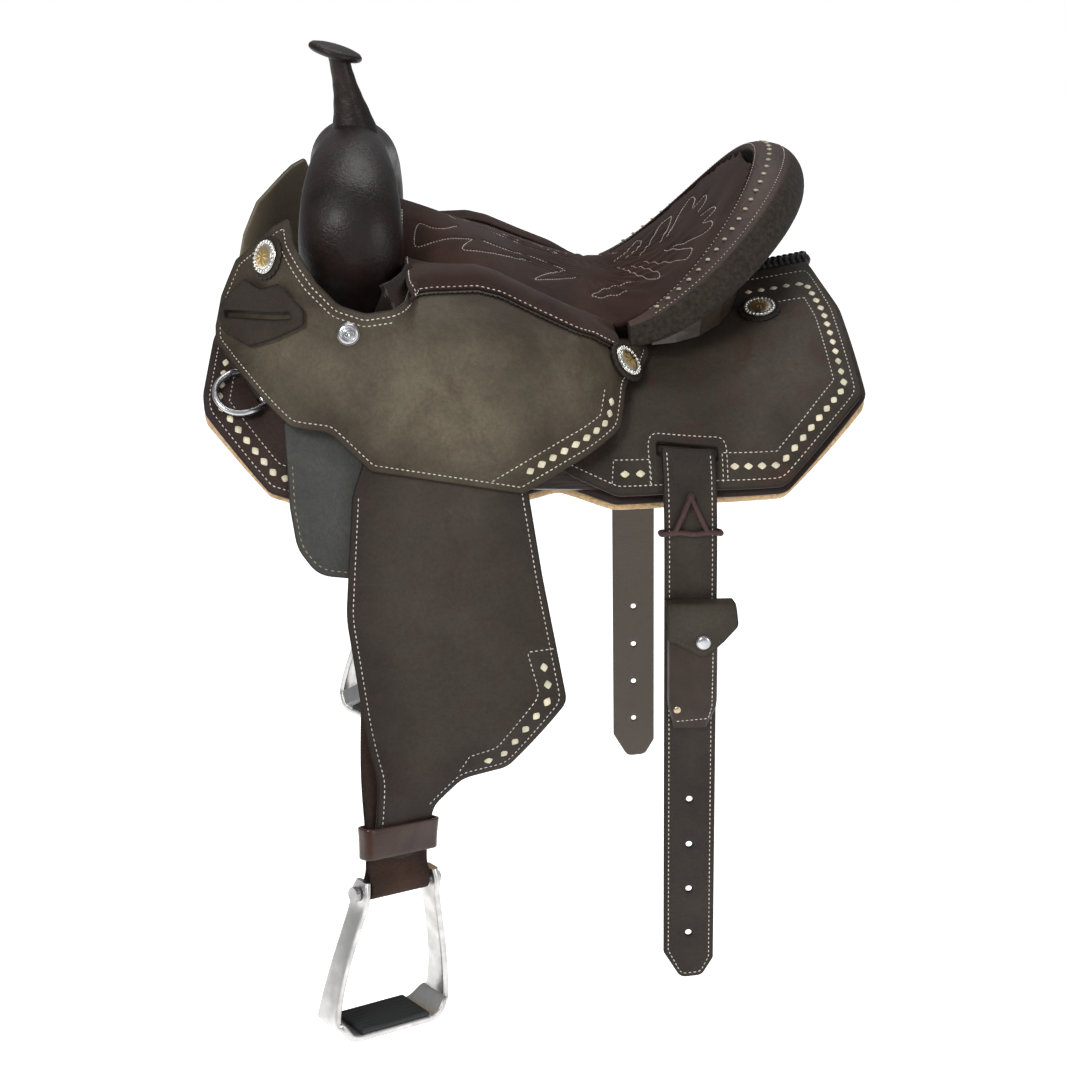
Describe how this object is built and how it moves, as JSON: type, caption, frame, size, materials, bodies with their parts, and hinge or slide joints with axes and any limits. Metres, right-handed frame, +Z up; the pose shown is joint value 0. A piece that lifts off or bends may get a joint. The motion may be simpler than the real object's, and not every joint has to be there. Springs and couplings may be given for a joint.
{
  "type": "barrel racing saddle",
  "caption": "Western barrel racing saddle with tall horn, deep padded seat, fenders, swinging stirrups, breast-collar dees and hanging rear billets.",
  "frame": {"origin": "point of the horse's back under the seat, on the centre line; the saddle's skirts curve round it", "axes": "-X towards the horse's head, near (left) side towards -Y, +Z up"},
  "size_m": [0.638, 0.8316, 0.9151],
  "materials": {
    "fleece": "dense curled wool fleece, tan",
    "oiled_leather": "oiled dark grey-brown leather, mottled, burnished edges",
    "dark_leather": "glossy near-black brown leather",
    "suede": "dark chocolate suede over padding",
    "roughout_leather": "rough-out leather, matt",
    "flesh_leather": "orange-brown flesh side",
    "grey_leather": "smooth grey leather",
    "tree_wood": "bare sanded wood, out of sight",
    "steel": "nickelled steel",
    "silver": "silver with berry edge and gilt middle",
    "aluminium": "brushed cast aluminium",
    "rubber": "black ribbed rubber"
  },
  "bodies": {
    "saddle": {"fleece_near": "fleece", "fleece_off": "fleece", "skirt_near": "oiled_leather", "skirt_off": "oiled_leather", "tree_bar_near": "tree_wood", "tree_bar_off": "tree_wood", "rear_housing_near": "oiled_leather", "rear_housing_off": "oiled_leather", "skirt_lacing": "dark_leather", "fork": "tree_wood", "swell_cover": "dark_leather", "horn_neck": "dark_leather", "horn_cap": "dark_leather", "cantle_roll": "roughout_leather", "cantle_board": "tree_wood", "seat": "suede", "ground_seat": "tree_wood", "jockey_near": "oiled_leather", "jockey_off": "oiled_leather", "rosette_front_near": "dark_leather", "rosette_front_off": "dark_leather", "concho_front_near": "silver", "concho_front_off": "silver", "rosette_cantle_near": "dark_leather", "rosette_cantle_off": "dark_leather", "concho_cantle_near": "silver", "concho_cantle_off": "silver", "rosette_rear_near": "dark_leather", "rosette_rear_off": "dark_leather", "concho_rear_near": "silver", "concho_rear_off": "silver", "seat_screw_near": "steel", "seat_screw_off": "steel", "rigging_loop_near": "oiled_leather", "rigging_loop_off": "oiled_leather", "leg_flap_near": "grey_leather", "leg_flap_off": "grey_leather"},
    "fender_near": {"fender_near": "oiled_leather", "stirrup_leather_near": "flesh_leather", "hobble_strap_near": "dark_leather"},
    "fender_off": {"fender_off": "oiled_leather", "stirrup_leather_off": "flesh_leather", "hobble_strap_off": "dark_leather"},
    "stirrup_near": {"stirrup_near": "aluminium", "stirrup_bolt_near": "steel", "tread_pad_near": "rubber"},
    "stirrup_off": {"stirrup_off": "aluminium", "stirrup_bolt_off": "steel", "tread_pad_off": "rubber"},
    "billet_near": {"billet_near": "oiled_leather", "billet_tie_near": "dark_leather", "pouch": "dark_leather"},
    "billet_off": {"billet_off": "oiled_leather", "billet_tie_off": "dark_leather"},
    "pouch_flap": {"pouch_flap": "oiled_leather", "snap_cap": "steel"},
    "dee_near": {"rigging_dee_near": "steel"},
    "dee_off": {"rigging_dee_off": "steel"},
    "keeper_near": {"latigo_keeper_near": "oiled_leather"},
    "keeper_off": {"latigo_keeper_off": "oiled_leather"}
  },
  "joints": [
    {"name": "fender_swing_near", "type": "hinge", "parent": "saddle", "child": "fender_near", "pos_m": [-0.182, -0.24648, -0.04325], "axis": [0, 0.9724, -0.2334], "range_deg": [-15, 30]},
    {"name": "fender_swing_off", "type": "hinge", "parent": "saddle", "child": "fender_off", "pos_m": [-0.182, 0.24648, -0.04325], "axis": [0, 0.9724, 0.2334], "range_deg": [-15, 30]},
    {"name": "stirrup_swing_near", "type": "hinge", "parent": "fender_near", "child": "stirrup_near", "pos_m": [-0.194, -0.3513, -0.47985], "axis": [0.788, 0.5987, -0.1437], "range_deg": [-50, 50]},
    {"name": "stirrup_swing_off", "type": "hinge", "parent": "fender_off", "child": "stirrup_off", "pos_m": [-0.194, 0.3513, -0.47985], "axis": [-0.788, 0.5987, 0.1437], "range_deg": [-50, 50]},
    {"name": "billet_swing_near", "type": "hinge", "parent": "saddle", "child": "billet_near", "pos_m": [0.0915, -0.2411, -0.08341], "axis": [-1, 0, 0], "range_deg": [0, 75]},
    {"name": "billet_swing_off", "type": "hinge", "parent": "saddle", "child": "billet_off", "pos_m": [0.0915, 0.2411, -0.08341], "axis": [1, 0, 0], "range_deg": [0, 75]},
    {"name": "pouch_flap_opening", "type": "hinge", "parent": "billet_near", "child": "pouch_flap", "pos_m": [0.09407, -0.27146, -0.22314], "axis": [-1, 0, 0], "range_deg": [0, 85]},
    {"name": "dee_lift_near", "type": "hinge", "parent": "saddle", "child": "dee_near", "pos_m": [-0.3195, -0.20123, -0.02473], "axis": [-0.5201, 0.5662, 0.6395], "range_deg": [0, 26]},
    {"name": "dee_lift_off", "type": "hinge", "parent": "saddle", "child": "dee_off", "pos_m": [-0.3195, 0.20123, -0.02473], "axis": [0.5201, 0.5662, -0.6395], "range_deg": [0, 26]},
    {"name": "keeper_lift_near", "type": "hinge", "parent": "saddle", "child": "keeper_near", "pos_m": [-0.32411, -0.17982, 0.07741], "axis": [-0.671, 0.7346, -0.1006], "range_deg": [0, 60]},
    {"name": "keeper_lift_off", "type": "hinge", "parent": "saddle", "child": "keeper_off", "pos_m": [-0.32411, 0.17982, 0.07741], "axis": [0.671, 0.7346, 0.1006], "range_deg": [0, 60]}
  ]
}
